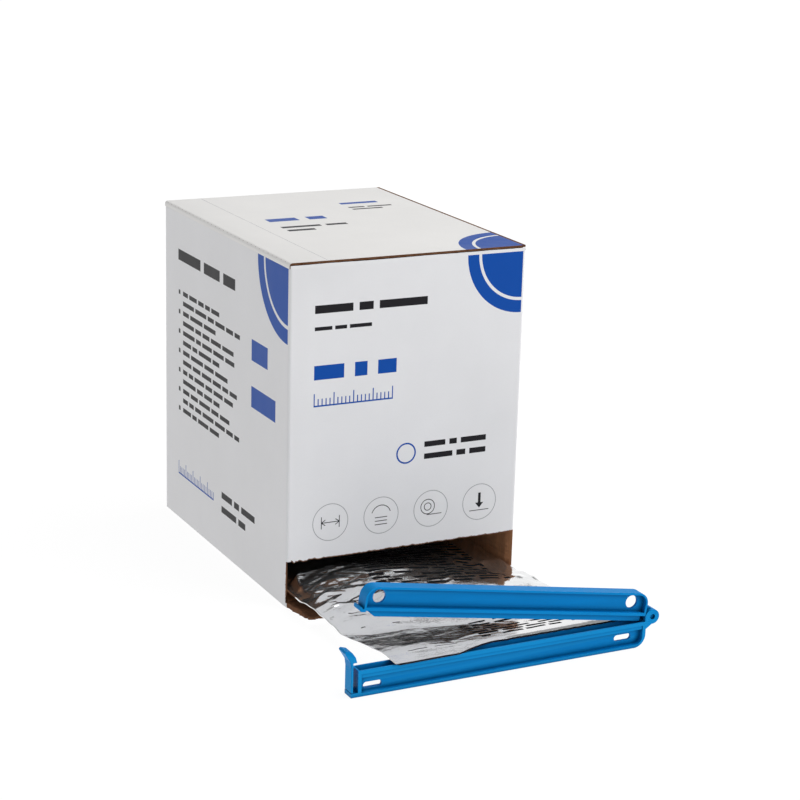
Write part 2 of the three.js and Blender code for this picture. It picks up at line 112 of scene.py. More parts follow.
def apply_modifiers(piece):
    depsgraph = bpy.context.evaluated_depsgraph_get()
    mesh = bpy.data.meshes.new_from_object(piece.evaluated_get(depsgraph), depsgraph=depsgraph)
    piece.modifiers.clear()
    piece.data = mesh


def cut(piece, cutter):
    modifier = piece.modifiers.new("cut", "BOOLEAN")
    modifier.operation = "DIFFERENCE"
    modifier.solver = "EXACT"
    modifier.material_mode = "TRANSFER"
    modifier.object = cutter
    apply_modifiers(piece)
    bpy.data.objects.remove(cutter)


def loft_faces(count, rows):
    """Faces of a closed loft through rows of points, with a cap at each end."""
    faces = []
    for r in range(rows - 1):
        for i in range(count):
            a = r * count + i
            b = r * count + (i + 1) % count
            faces.append((a, b, b + count, a + count))
    faces.append(tuple(range(count))[::-1])
    faces.append(tuple(range((rows - 1) * count, rows * count)))
    return faces


def slab_faces(across, along):
    """Faces of a slab between two grids of points, the lower one first, and the side of each face:
    0 above, 1 below and 2 round the rim."""
    row = across + 1
    layer = row * (along + 1)
    faces = []
    sides = []
    for j in range(along):
        for i in range(across):
            a = j * row + i
            b = a + layer
            faces += [(a, a + row, a + row + 1, a + 1), (b, b + 1, b + row + 1, b + row)]
            sides += [1, 0]
    border = list(range(row)) + [j * row + across for j in range(1, along + 1)]
    border += [along * row + i for i in range(across - 1, -1, -1)]
    border += [j * row for j in range(along - 1, 0, -1)]
    for a, b in zip(border, border[1:] + border[:1]):
        faces.append((a, b, b + layer, a + layer))
        sides.append(2)
    return faces, sides


def prism(name, rows, material):
    """A closed loft through rows of points that all have the same count."""
    points = [point for row in rows for point in row]
    faces = loft_faces(len(rows[0]), len(rows))
    return add_mesh(name, points, faces, material)


def smooth_by_angle(piece, degrees):
    piece.data.shade_smooth()
    piece.data.set_sharp_from_angle(angle=math.radians(degrees))


def roughly(seed, at, scale):
    """A smooth random number from -1 to 1 that repeats for the same seed and place."""
    return noise.noise(Vector((at / scale, seed * 7.31, seed * 1.7)))


# Materials

# How far the flutes' bands repeat along the carton's width and depth: on the walls both ways,
# because the flutes stand upright there, and on the top along the depth only.
UPRIGHT_FLUTES = (1.0, 1.0)
LEVEL_FLUTES = (0.0, 1.0)


class Graph:
    """A material's nodes, with short calls for the few kinds that are used here."""

    def __init__(self, name, **shader):
        self.material = bpy.data.materials.new(name)
        self.material.use_nodes = True
        self.tree = self.material.node_tree
        self.shader = self.tree.nodes["Principled BSDF"]
        for key, value in shader.items():
            socket = self.shader.inputs[key.replace("_", " ").title().replace("Ior", "IOR")]
            socket.default_value = (*value, 1) if isinstance(value, tuple) else value

    def node(self, kind, output=0, settings=None, **inputs):
        made = self.tree.nodes.new("ShaderNode" + kind)
        for key, value in (settings or {}).items():
            setattr(made, key, value)
        for key, value in inputs.items():
            name = int(key[1:]) if key.startswith("_") else key.replace("_", " ")
            self.feed(made.inputs[name], value)
        return made.outputs[output]

    def feed(self, socket, value):
        if isinstance(value, bpy.types.NodeSocket):
            self.tree.links.new(value, socket)
        elif isinstance(value, tuple) and len(value) == 3 and socket.type == "RGBA":
            socket.default_value = (*value, 1)
        else:
            socket.default_value = value

    def place(self):
        return self.node("TexCoord", output=3)

    def stretched(self, vector, scale):
        return self.node("Mapping", Vector=vector, Scale=scale)

    def split(self, vector):
        made = self.tree.nodes.new("ShaderNodeSeparateXYZ")
        self.feed(made.inputs[0], vector)
        return made.outputs

    def noise(self, vector, scale, detail=3.0, roughness=0.55):
        return self.node("TexNoise", Vector=vector, Scale=scale, Detail=detail, Roughness=roughness)

    def white_noise(self, a, b):
        pair = self.node("CombineXYZ", _0=a, _1=b)
        return self.node("TexWhiteNoise", settings={"noise_dimensions": "2D"}, Vector=pair)

    def maths(self, operation, a, b=0.0):
        return self.node("Math", settings={"operation": operation}, _0=a, _1=b)

    def plus(self, a, b):
        return self.maths("ADD", a, b)

    def times(self, a, b):
        return self.maths("MULTIPLY", a, b)

    def ramp(self, value, low, high, from_value=0.3, to_value=0.7):
        """Remaps value to low at from_value and high at to_value."""
        ends = {"From_Min": from_value, "From_Max": to_value, "To_Min": low, "To_Max": high}
        return self.node("MapRange", Value=value, **ends)

    def mix(self, share, a, b):
        return self.node("Mix", output=2, settings={"data_type": "RGBA"}, Factor=share, _6=a, _7=b)

    def bump(self, height, strength, distance, **under):
        return self.node("Bump", Height=height, Strength=strength, Distance=distance, **under)

    def set(self, socket, value):
        self.feed(self.shader.inputs[socket], value)


def shaded(colour, factor):
    return tuple(channel * factor for channel in colour)


def flute_bands(graph, place, along, distortion, detail):
    """Bands of the board's flutes. along: how far they repeat along the width and the depth."""
    parts = graph.split(place)
    across = graph.plus(graph.times(parts[0], along[0]), graph.times(parts[1], along[1]))
    return graph.node(
        "TexWave", output=1, settings={"wave_type": "BANDS", "bands_direction": "X"},
        Vector=graph.node("CombineXYZ", _0=across), Scale=22.0, Distortion=distortion,
        Detail=detail,
    )


def board_material(name, colour, flutes_along, gloss=0.46):
    """Coated white liner, bare or printed: faint washboard of the flutes, paper grain, scuffs."""
    graph = Graph(name, roughness=gloss, specular_ior_level=0.13)
    place = graph.place()
    grain = graph.noise(place, 900.0, 4.0)
    cloud = graph.noise(place, 16.0, 4.0)
    tone = graph.mix(graph.ramp(cloud, 0.0, 1.0), shaded(colour, 0.965), shaded(colour, 1.02))
    speck = graph.ramp(grain, 0.0, 0.10, 0.45, 0.75)
    graph.set("Base Color", graph.mix(speck, tone, shaded(colour, 0.86)))
    graph.set("Roughness", graph.ramp(cloud, gloss - 0.05, gloss + 0.08))
    rolled = graph.bump(flute_bands(graph, place, flutes_along, 0.3, 1.0), 0.05, 0.0006)
    graph.set("Normal", graph.bump(grain, 0.10, 0.0003, Normal=rolled))
    return graph.material


def kraft_material(name, light, dark):
    """Raw brown liner: long pulp fibres, blotches and the flutes that show through."""
    graph = Graph(name, roughness=0.86, specular_ior_level=0.22)
    place = graph.place()
    fibre = graph.noise(graph.stretched(place, (900.0, 900.0, 120.0)), 1.0, 5.0, 0.62)
    blotch = graph.noise(place, 60.0, 4.0)
    flutes = flute_bands(graph, place, UPRIGHT_FLUTES, 0.8, 2.0)
    tone = graph.mix(graph.ramp(fibre, 0.0, 1.0), dark, light)
    tone = graph.mix(graph.ramp(blotch, 0.0, 0.45), tone, shaded(light, 1.15))
    graph.set("Base Color", graph.mix(graph.ramp(flutes, 0.0, 0.16, 0.0, 1.0), tone, shaded(dark, 0.7)))
    graph.set("Roughness", graph.ramp(fibre, 0.78, 0.94))
    rolled = graph.bump(flutes, 0.2, 0.0007)
    graph.set("Normal", graph.bump(fibre, 0.5, 0.0005, Normal=rolled))
    return graph.material


def plastic_material(name, colour):
    """Satin moulded polypropylene: fine spark-eroded grain, faint flow marks, a painted highlight on its
    edges and painted shade in its crevices.
    """
    graph = Graph(name, roughness=0.38, specular_ior_level=0.05)
    place = graph.place()
    grain = graph.noise(place, 2600.0, 2.0)
    flow = graph.noise(graph.stretched(place, (18.0, 60.0, 140.0)), 1.0, 3.0)
    edge = graph.node("NewGeometry", output=7)
    tone = graph.mix(graph.ramp(flow, 0.0, 1.0), shaded(colour, 0.93), shaded(colour, 1.05))
    # Painted highlight: the paler blue on sharp, convex edges.
    edge_highlight = graph.mix(graph.ramp(edge, 0.0, 0.5, 0.51, 0.60), tone, EDGE_HIGHLIGHT_BLUE)
    # Painted shade: darker blue in crevices and under rims, where the ambient occlusion finds nearby
    # surfaces.
    open_sky = graph.node("AmbientOcclusion", output=1, settings={"samples": 8}, Distance=0.004)
    shade = graph.ramp(open_sky, 1.0, 0.0, 0.42, 0.93)
    graph.set("Base Color", graph.mix(shade, edge_highlight, shaded(colour, 0.42)))
    graph.set("Roughness", graph.ramp(flow, 0.34, 0.44))
    graph.set("Normal", graph.bump(grain, 0.12, 0.0002))
    return graph.material


def word_rows(graph, across, along, block, seed):
    """1 inside rows of short plain bars of random lengths, 0 between them."""
    rows = graph.maths("DIVIDE", along, block["row"])
    row = graph.maths("FLOOR", rows)
    inside_row = graph.maths("LESS_THAN", graph.maths("FRACT", rows), block["bar"] / block["row"])
    offset = graph.times(graph.white_noise(row, seed), 5.0)
    cells = graph.plus(graph.maths("DIVIDE", across, block["word"]), offset)
    chance = graph.white_noise(graph.maths("FLOOR", cells), graph.plus(row, seed))
    length = graph.ramp(chance, 0.95, 0.5, 0.0, 1.0)
    inside_cell = graph.maths("LESS_THAN", graph.maths("FRACT", cells), length)
    printed = graph.maths("GREATER_THAN", chance, block["gap"])
    return graph.times(graph.times(inside_row, inside_cell), printed)


def within(graph, value, low, high):
    above = graph.maths("GREATER_THAN", value, low)
    below = graph.maths("LESS_THAN", value, high)
    return graph.times(above, below)


# Blocks of plain bars on the film. left, right, back, front: their edges from the left seam and
# from the sleeve's back end. row: distance between rows. bar: height of a bar. word: longest bar
# with its gap. gap: share of the bars that are left out.
FILM_PRINT = table(
    "left right back front row bar word gap",
    (46, 130, 58, 134, 5.2, 3.0, 17.0, 0.03),
    (62, 132, 186, 220, 5.0, 2.7, 15.0, 0.05),
    (12, 36, 150, 178, 9.0, 0.8, 14.0, 0.30),
    (14, 44, 214, 230, 8.0, 0.7, 20.0, 0.20),
)


def film_print(graph, place):
    """1 on the film's plain bars, 0 beside them, in rows that sway a little."""
    parts = graph.split(graph.node("TexCoord", output=2))
    across = graph.times(parts[0], SLEEVE_WIDTH)
    sway = graph.times(graph.noise(place, 26.0, 2.0), 7.0)
    along = graph.plus(graph.times(parts[1], SLEEVE_LENGTH), sway)
    total = 0.0
    for seed, block in enumerate(FILM_PRINT):
        rows = word_rows(graph, across, along, block, seed * 13.0)
        area = graph.times(
            within(graph, across, block["left"], block["right"]),
            within(graph, along, block["back"], block["front"]),
        )
        total = graph.plus(graph.times(rows, area), total)
    return graph.maths("MINIMUM", total, 1.0)


def film_material(name, colour, roughness, printed=False):
    """Aluminium laminate: mirror-like with a fine crinkle, bare or with rows of plain dark bars."""
    graph = Graph(name, base_color=colour, metallic=1.0)
    place = graph.place()
    crinkle = graph.noise(place, 190.0, 4.0, 0.6)
    fine = graph.noise(place, 900.0, 3.0, 0.6)
    dull = graph.ramp(graph.noise(place, 45.0, 4.0), *roughness)
    soft = graph.bump(crinkle, 0.13, 0.0012)
    graph.set("Normal", graph.bump(fine, 0.06, 0.0003, Normal=soft))
    if printed:
        mask = film_print(graph, place)
        bare = graph.maths("SUBTRACT", 1.0, mask)
        graph.set("Base Color", graph.mix(mask, colour, FILM_INK))
        graph.set("Metallic", graph.times(bare, 0.95))
        graph.set("Specular IOR Level", graph.times(bare, 0.5))
        dull = graph.plus(dull, graph.times(mask, 0.4))
    graph.set("Roughness", dull)
    return graph.material


def lit_paint(name, base, glow):
    """Matt white paint that also gives off a light of its own."""
    return Graph(
        name, base_color=(base, base, base), roughness=0.9, specular_ior_level=0.1,
        emission_color=(1, 1, 1), emission_strength=glow,
    )


def floor_material():
    """Nearly white by its own light, a little more so far from the part."""
    near, far = 0.92, 0.96
    graph = lit_paint("white floor", 0.12, near)
    length = {"operation": "LENGTH"}
    distance = graph.node("VectorMath", output=1, settings=length, _0=graph.place())
    graph.set("Emission Strength", graph.ramp(distance, near, far, 0.4, 2.0))
    graph.set("Roughness", graph.ramp(graph.noise(graph.place(), 30.0), 0.86, 0.94))
    return graph.material


def felt_material(name, colour):
    """Needled felt: matted fibres, tiny needle pits and a soft sheen."""
    graph = Graph(name, roughness=0.95, specular_ior_level=0.15, sheen_weight=0.5, sheen_roughness=0.6)
    place = graph.place()
    fibre = graph.noise(place, 700.0, 6.0, 0.7)
    clump = graph.noise(place, 90.0, 4.0)
    pits = graph.node("TexVoronoi", Vector=place, Scale=420.0)
    tone = graph.mix(graph.ramp(clump, 0.0, 1.0), shaded(colour, 0.9), colour)
    graph.set("Base Color", graph.mix(graph.ramp(fibre, 0.0, 0.35), tone, shaded(colour, 0.72)))
    matted = graph.bump(fibre, 0.6, 0.0006)
    graph.set("Normal", graph.bump(pits, 0.35, 0.0004, Normal=matted))
    return graph.material


MATERIALS = {
    "paper": board_material("coated white board", PAPER, UPRIGHT_FLUTES),
    "top paper with painted light": board_material("coated white top board with painted light", LIT_TOP_PAPER, LEVEL_FLUTES),
    "blue": board_material("blue print", INK_BLUE, UPRIGHT_FLUTES, 0.36),
    "black": board_material("black print", INK_BLACK, UPRIGHT_FLUTES, 0.40),
    "grey": board_material("grey print", INK_GREY, UPRIGHT_FLUTES, 0.42),
    "kraft": kraft_material("raw kraft board", KRAFT, shaded(KRAFT, 0.62)),
    "torn": kraft_material("torn kraft board", shaded(KRAFT, 0.36), KRAFT_DARK),
    "film": film_material("printed laminate film", FILM, (0.03, 0.07), True),
    # The wound strip's film: a darker copy of the sleeve's film, painted shade for the carton's dark inside.
    "shaded plain film": film_material("plain laminate film with painted shade", shaded(FILM, 0.48), (0.19, 0.27)),
    "felt": felt_material("needled felt", FELT),
    "plastic": plastic_material("satin blue plastic", PLASTIC),
    "floor": floor_material(),
    "wall": lit_paint("white wall", 0.2, 0.82).material,
}
BOARD_INKS = ["paper", "kraft", "torn", "blue", "black", "grey"]
TOP_INKS = ["top paper with painted light", "kraft", "torn", "blue", "black", "grey"]


# Printed motifs, all generic. A motif is (ink, polygon) in millimetres on a panel: s runs to the
# right and t upwards from the panel's lower left corner, as seen from outside.

def bar(ink, s, t, width, height):
    return [(ink, [(s, t), (s + width, t), (s + width, t + height), (s, t + height)])]


def disc(ink, s, t, radius, start=0.0, sweep=360.0, sides=40):
    steps = sides if sweep >= 360 else sides + 1
    turn = [math.radians(start + sweep * i / sides) for i in range(steps)]
    points = [(s + radius * math.cos(a), t + radius * math.sin(a)) for a in turn]
    if sweep < 360:
        points.append((s, t))
    return [(ink, points)]


def ring(ink, s, t, radius, width, ground="paper"):
    return disc(ink, s, t, radius) + disc(ground, s, t, radius - width)


def stroke(ink, points, width):
    made = []
    for (s0, t0), (s1, t1) in zip(points, points[1:]):
        length = math.hypot(s1 - s0, t1 - t0)
        ds = (s1 - s0) / length * width / 2
        dt = (t1 - t0) / length * width / 2
        made.append((ink, [
            (s0 + dt - ds, t0 - ds - dt), (s1 + dt + ds, t1 - ds + dt),
            (s1 - dt + ds, t1 + ds + dt), (s0 - dt - ds, t0 + ds - dt),
        ]))
    return made


def rows_of_bars(ink, s, t, height, rows):
    """Rows of plain bars in the rhythm of set lines. Each row lists the bars' lengths."""
    made = []
    for number, lengths in enumerate(rows):
        at = s
        for length in lengths:
            made += bar(ink, at, t - number * height * 2.2, length, height)
            at += length + height * 0.8
    return made


def some_rows(seed, count, longest, shortest_bar, longest_bar):
    pick = random.Random(seed)
    rows = []
    for _ in range(count):
        room = longest * pick.uniform(0.55, 1.0)
        lengths = []
        while room > shortest_bar:
            length = min(room, pick.uniform(shortest_bar, longest_bar))
            lengths.append(length)
            room -= length + 2.0
        rows.append(lengths)
    return rows


def tick_rule(ink, s, t, length, step, height, width):
    made = bar(ink, s, t, length + width, width * 1.3)
    for number in range(int(length / step) + 1):
        reach = height if number % 5 == 0 else height * 0.55
        made += bar(ink, s + number * step, t + width * 1.3, width, reach)
    return made


def corner_mark(s, t, radius, start, ground="paper"):
    """A blue quarter disc with one thin pale arc in it."""
    outer = disc("blue", s, t, radius, start, 90.0, 24)
    pale = disc(ground, s, t, radius * 0.80, start, 90.0, 24)
    return outer + pale + disc("blue", s, t, radius * 0.75, start, 90.0, 24)


SIGN_LINE = 0.5


def sign_line(*points):
    return stroke("black", points, SIGN_LINE)


def roll_sign(s, t, radius):
    """A wound strip with its end drawn out along a surface."""
    made = []
    for share in (0.42, 0.22):
        made += ring("black", s - radius * 0.18, t + radius * 0.12, radius * share, SIGN_LINE)
    low = t - radius * 0.32
    return made + sign_line((s - radius * 0.2, low), (s + radius * 0.62, low))


def length_sign(s, t, radius):
    """A length between two end marks."""
    made = []
    half = radius * 0.5
    for side in (-half, half):
        made += sign_line((s + side, t - half * 0.6), (s + side, t + half * 0.6))
        for rise in (1.6, -1.6):
            made += sign_line((s + side * 0.6, t + rise), (s + side, t))
    return made + sign_line((s - half, t), (s + half, t))


def press_sign(s, t, radius):
    """An arrow that presses down on a line."""
    low = t - radius * 0.45
    made = sign_line((s - radius * 0.55, low), (s + radius * 0.55, low))
    made += bar("black", s - 0.9, t - 0.5, 1.8, radius * 0.55)
    return made + [("black", [(s - 2.8, t - 0.4), (s, t - 3.8), (s + 2.8, t - 0.4)])]


def dry_sign(s, t, radius):
    """Three short level lines under an arch."""
    arch = [math.radians(20 + 14 * i) for i in range(11)]
    reach = radius * 0.55
    made = sign_line(*[(s + reach * math.cos(a), t + reach * math.sin(a)) for a in arch])
    for number in range(3):
        level = t - 1.2 - number * 2.2
        made += sign_line((s - reach * 0.6, level), (s + reach * 0.6, level))
    return made


def front_print(width, height):
    made = corner_mark(width - 0.1, height - 0.1, 37.0, 180.0)
    made += rows_of_bars("black", 14.0, height - 27.0, 4.8, [[24.0, 9.0, 31.0]])
    made += rows_of_bars("black", 14.0, height - 37.0, 2.2, [[11.0, 7.5, 14.0]])
    made += rows_of_bars("blue", 14.0, height - 66.0, 8.5, [[19.0, 8.0, 12.0]])
    made += tick_rule("blue", 14.0, height - 82.0, 50.0, 2.5, 7.0, 0.7)
    made += rows_of_bars("black", width - 62.0, 88.0, 3.4, [[14.0, 5.0, 17.0], [19.0, 6.0, 11.0]])
    made += ring("blue", width - 74.0, 85.5, 6.5, 1.0)
    for number, sign in enumerate((length_sign, dry_sign, roll_sign, press_sign)):
        at = (26.0 + number * 33.0, 49.0, 11.5)
        made += ring("grey", *at, 0.45) + sign(*at)
    return made


def left_print(width, height):
    made = corner_mark(width - 0.1, height - 0.1, 44.0, 180.0)
    made += rows_of_bars("black", 22.0, height - 30.0, 7.0, [[38.0, 26.0, 19.0]])
    made += rows_of_bars("black", 30.0, height - 52.0, 2.9, some_rows(4, 13, 96.0, 7.0, 22.0))
    for number in range(0, 13, 2):
        made += bar("black", 22.5, height - 52.0 - number * 2.9 * 2.2, 2.9, 2.9)
    made += rows_of_bars("blue", 142.0, height - 66.0, 13.0, [[24.0], [36.0]])
    made += tick_rule("blue", 22.0, 30.0, 60.0, 2.5, 8.0, 0.8)
    return made + rows_of_bars("black", 96.0, 36.0, 4.2, [[17.0, 8.0, 21.0], [24.0, 11.0]])


def right_print(width, height):
    made = corner_mark(0.1, height - 0.1, 44.0, 270.0)
    made += rows_of_bars("black", 84.0, height - 30.0, 7.0, [[34.0, 22.0]])
    return made + rows_of_bars("black", 84.0, height - 52.0, 2.9, some_rows(9, 6, 80.0, 7.0, 20.0))


def back_print(width, height):
    made = corner_mark(0.1, height - 0.1, 37.0, 270.0)
    made += rows_of_bars("black", 62.0, height - 27.0, 6.4, [[31.0, 21.0]])
    return made + tick_rule("blue", 62.0, height - 52.0, 50.0, 2.5, 7.0, 0.7)


def top_print(width, depth):
    """Seen with the carton's front at the lower edge; its rows face the carton's back."""
    made = corner_mark(width - 0.1, 0.1, 40.0, 90.0, "top paper with painted light")
    made += rows_of_bars("blue", 34.0, 112.0, 8.5, [[20.0, 12.0]])
    made += rows_of_bars("black", 34.0, 92.0, 4.4, [[26.0, 14.0], [18.0]])
    made += rows_of_bars("blue", 100.0, 150.0, 5.0, [[26.0]])
    made += rows_of_bars("black", 100.0, 138.0, 2.8, [[11.0, 17.0], [21.0]])
    made += bar("torn", width - 2.0, 0.0, 1.7, depth)
    return made + bar("grey", 22.0, 2.0, 0.3, depth - 4.0)


def printed_panel(width, height, motifs, inks, place):
    """Triangles of one flat panel, split along the motifs' outlines."""
    panel = [Vector((0, 0)), Vector((width, 0)), Vector((width, height)), Vector((0, height))]
    points = list(panel)
    outlines = [list(range(4))]
    for _, polygon in motifs:
        start = len(points)
        points += [Vector(point) for point in polygon]
        outlines.append(list(range(start, len(points))))
    found = geometry.delaunay_2d_cdt(points, [], outlines, 1, 1e-4, True)
    names = [inks[0]] + [ink for ink, _ in motifs]
    colours = [inks.index(names[max(owners)]) for owners in found[5]]
    return [place(*point) for point in found[0]], found[2], colours


# Carton

# The board's thickness, that of one of its liners, and the distance between its flutes.
BOARD = 3.0
LINER = 0.4
FLUTE_PITCH = 6.2
# The radius of the folds between the walls, and the smaller one round the bottom.
FOLD = 1.8
BOTTOM_EDGE = 0.7
# The torn opening in the front: the height of its top, and half its width.
OPENING_TOP = 28.6
OPENING_HALF = 73.0
# The front wall's liner over the flap's edge: its thickness, and how far up the edge it reaches.
CREASE = 0.5
CREASE_REACH = 1.75
# A thin gap that keeps two surfaces from lying in one plane.
HAIR = 0.03

_, body_high = box_mm("carton_body")
flap_low, flap_high = box_mm("carton_top_flap")
HALF_WIDTH = body_high.x
HALF_DEPTH = body_high.y
BODY_TOP = body_high.z


def carton_ring(inset, radius, z, segments=4):
    points = []
    x = HALF_WIDTH - inset - radius
    y = HALF_DEPTH - inset - radius
    for corner, (sx, sy) in enumerate(((-1, -1), (1, -1), (1, 1), (-1, 1))):
        for step in range(segments + 1):
            angle = math.radians(180 + 90 * corner + 90 * step / segments)
            points.append((sx * x + radius * math.cos(angle), sy * y + radius * math.sin(angle), z))
    return points


def carton_shell():
    """The closed outside of the carton's body, with the print on its four walls."""
    rings = [
        carton_ring(BOTTOM_EDGE, FOLD - BOTTOM_EDGE, 0.0),
        carton_ring(0.0, FOLD, BOTTOM_EDGE),
        carton_ring(0.0, FOLD, BODY_TOP),
    ]
    count = len(rings[0])
    per_corner = count // 4
    points = [point for row in rings for point in row]
    flat = {count + i for i in range(per_corner - 1, count, per_corner)}
    faces = [face for at, face in enumerate(loft_faces(count, len(rings))) if at not in flat]
    colours = [0] * len(faces)
    x = HALF_WIDTH - FOLD
    y = HALF_DEPTH - FOLD
    tall = BODY_TOP - BOTTOM_EDGE
    walls = [
        (2 * x, front_print, lambda s, t: (s - x, -HALF_DEPTH, t + BOTTOM_EDGE)),
        (2 * y, right_print, lambda s, t: (HALF_WIDTH, s - y, t + BOTTOM_EDGE)),
        (2 * x, back_print, lambda s, t: (x - s, HALF_DEPTH, t + BOTTOM_EDGE)),
        (2 * y, left_print, lambda s, t: (-HALF_WIDTH, y - s, t + BOTTOM_EDGE)),
    ]
    for width, print_on, place in walls:
        new_points, new_faces, new_colours = printed_panel(
            width, tall, print_on(width, tall), BOARD_INKS, place,
        )
        start = len(points)
        points += new_points
        faces += [tuple(start + i for i in face) for face in new_faces]
        colours += new_colours
    return add_mesh("carton_walls", points, faces, *BOARD_INKS, inks=colours)


def torn_height(x, depth):
    """Height of the tear over the opening. depth: 0 at the outer liner, 1 at the inner one."""
    left_end = 1.0 + 2.6 * max(0.0, 1.0 - (x + OPENING_HALF) / 26.0)
    coarse = 0.35 * roughly(3, x, 7.0)
    teeth = 0.55 * abs(roughly(5, x, 1.9)) + 0.35 * roughly(8, x, 0.8)
    return OPENING_TOP - 0.3 + (coarse + teeth) * left_end - 0.75 * depth


def opening_cutter():
    """The opening with its torn top. The tear runs lower on the inner liner than on the outer one."""
    steps = 260
    rows = []
    for depth, y in ((0.0, -1.5), (0.0, 0.34), (1.0, 0.36), (1.4, BOARD + 2.0)):
        row = []
        for i in range(steps + 1):
            x = -OPENING_HALF + 2 * OPENING_HALF * i / steps
            row.append((x, y - HALF_DEPTH, torn_height(x, depth)))
        row.append((OPENING_HALF, y - HALF_DEPTH, BOARD + 0.02))
        row.append((-OPENING_HALF, y - HALF_DEPTH, BOARD + 0.02))
        rows.append(row)
    return prism("opening_cutter", rows, "torn")


def side_cutter(side):
    """The ragged cut along a side wall's front edge, beside the opening."""
    steps = 60
    rows = []
    for x in (HALF_WIDTH - BOARD - 0.05, HALF_WIDTH - 1.2, HALF_WIDTH - 0.35, HALF_WIDTH + 1.0):
        crushed = 1.5 * min(max(HALF_WIDTH - x, 0.0), BOARD)
        row = []
        for i in range(steps + 1):
            z = BOARD + 0.02 + (OPENING_TOP - 0.1 - BOARD) * i / steps
            tear = 0.5 + 0.7 * abs(roughly(11 + side, z, 1.7)) + 0.3 * roughly(14, z + x, 0.7) + crushed
            row.append((side * x, tear - HALF_DEPTH, z))
        row.append((side * x, -HALF_DEPTH - 1.0, OPENING_TOP - 0.1))
        row.append((side * x, -HALF_DEPTH - 1.0, BOARD + 0.02))
        rows.append(row)
    # The left edge is drawn in the darker torn kraft as painted shade, the right one in plain kraft.
    return prism("side_cutter", rows, "torn" if side < 0 else "kraft")


def cavity_cutter():
    x = HALF_WIDTH - BOARD
    y = HALF_DEPTH - BOARD
    corners = [(-x, -y), (x, -y), (x, y), (-x, y)]
    rows = [[(cx, cy, z) for cx, cy in corners] for z in (BOARD, BODY_TOP + 5.0)]
    return prism("cavity_cutter", rows, "kraft")


def carton_walls():
    walls = carton_shell()
    for cutter in (cavity_cutter(), opening_cutter(), side_cutter(-1), side_cutter(1)):
        cut(walls, cutter)
    smooth_by_angle(walls, 35)
    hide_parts("carton_body")
    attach(walls, "dispenser")


def carton_top():
    """The glued outer flap: two liners, the fluted core between them, and the fold on the left."""
    x = HALF_WIDTH
    y = HALF_DEPTH
    low, high = flap_low.z, flap_high.z
    width = 2 * x - FOLD
    fold = []
    for step in range(6):
        angle = math.radians(180 - 90 * step / 5)
        fold.append((-x + FOLD + FOLD * math.cos(angle), high - FOLD + FOLD * math.sin(angle)))
    skirt = [(-x, BODY_TOP + HAIR)] + fold[:-1]
    inner = [(max(px, -x) + LINER, pz - 0.15) for px, pz in skirt] + [(-x + FOLD, high - LINER)]
    points, faces, colours = printed_panel(
        width, 2 * y, top_print(width, 2 * y), TOP_INKS,
        lambda s, t: (s - x + FOLD, t - y, high),
    )
    points = list(points)
    faces = [tuple(face) for face in faces]
    profile = skirt + [fold[-1]]
    strip_faces(points, faces, colours, profile, y, 0)
    under = [(-x + LINER, BODY_TOP + HAIR)] + inner[1:] + [(x, high - LINER)]
    strip_faces(points, faces, colours, under, y, 1)
    rim_start = len(points)
    points += [(x, -y, high), (x, y, high), (x, -y, high - LINER), (x, y, high - LINER)]
    faces.append((rim_start, rim_start + 1, rim_start + 3, rim_start + 2))
    colours.append(2)
    for side in (-y, y):
        start = len(points)
        loop = profile + [(x, high)] + under[::-1]
        points += [(px, side, pz) for px, pz in loop]
        faces.append(tuple(range(start, start + len(loop))))
        colours.append(2)
    top = add_mesh("carton_top", points, faces, *TOP_INKS, inks=colours)
    smooth_by_angle(top, 30)
    core = fluted_core(-x + LINER + 0.1, x - 0.25, low + LINER, high - LINER)
    liner = lower_liner(low)
    for piece in (top, core, liner):
        set_back(piece)
    for piece in (top, core, liner, front_crease()):
        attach(piece, "dispenser")
    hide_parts("carton_top_flap")


def set_back(piece):
    """Moves a piece's front end to just behind the front wall's crease."""
    for vertex in piece.data.vertices:
        if vertex.co.y < (0.4 - HALF_DEPTH) * MM:
            vertex.co.y = (CREASE + 0.05 - HALF_DEPTH) * MM


def front_crease():
    """The front wall's white liner, which runs up over the flap's edge to a slightly wavy end."""
    rows = []
    steps = 120
    inset = 0.5
    for i in range(steps + 1):
        x = -HALF_WIDTH + inset + 2 * (HALF_WIDTH - inset) * i / steps
        high = BODY_TOP + CREASE_REACH + 0.22 * roughly(41, x, 24.0) + 0.1 * roughly(43, x, 3.0)
        y = -HALF_DEPTH
        rows.append([(x, y, BODY_TOP), (x, y + CREASE, BODY_TOP), (x, y + CREASE, high), (x, y + 0.12, high)])
    crease = prism("front_crease", rows, "paper")
    smooth_by_angle(crease, 30)
    return crease


def strip_faces(points, faces, colours, profile, y, colour):
    """Adds a strip that carries an XZ profile from the carton's front to its back."""
    start = len(points)
    for px, pz in profile:
        points.append((px, -y, pz))
        points.append((px, y, pz))
    for i in range(len(profile) - 1):
        a = start + 2 * i
        faces.append((a, a + 1, a + 3, a + 2))
        colours.append(colour)


def fluted_core(x_from, x_to, z_from, z_to):
    """One wavy sheet between the flap's two liners, as a loft from the front to the back."""
    half = 0.11
    middle = (z_from + z_to) / 2
    swing = (z_to - z_from) / 2 - half - 0.02
    steps = int(2 * HALF_DEPTH / FLUTE_PITCH * 12)
    rows = []
    for i in range(steps + 1):
        y = -HALF_DEPTH + 0.25 + (2 * HALF_DEPTH - 0.5) * i / steps
        z = middle + swing * math.sin(2 * math.pi * y / FLUTE_PITCH)
        rows.append([(x_from, y, z - half), (x_to, y, z - half), (x_to, y, z + half), (x_from, y, z + half)])
    core = prism("carton_top_flutes", rows, "torn")
    smooth_by_angle(core, 50)
    return core


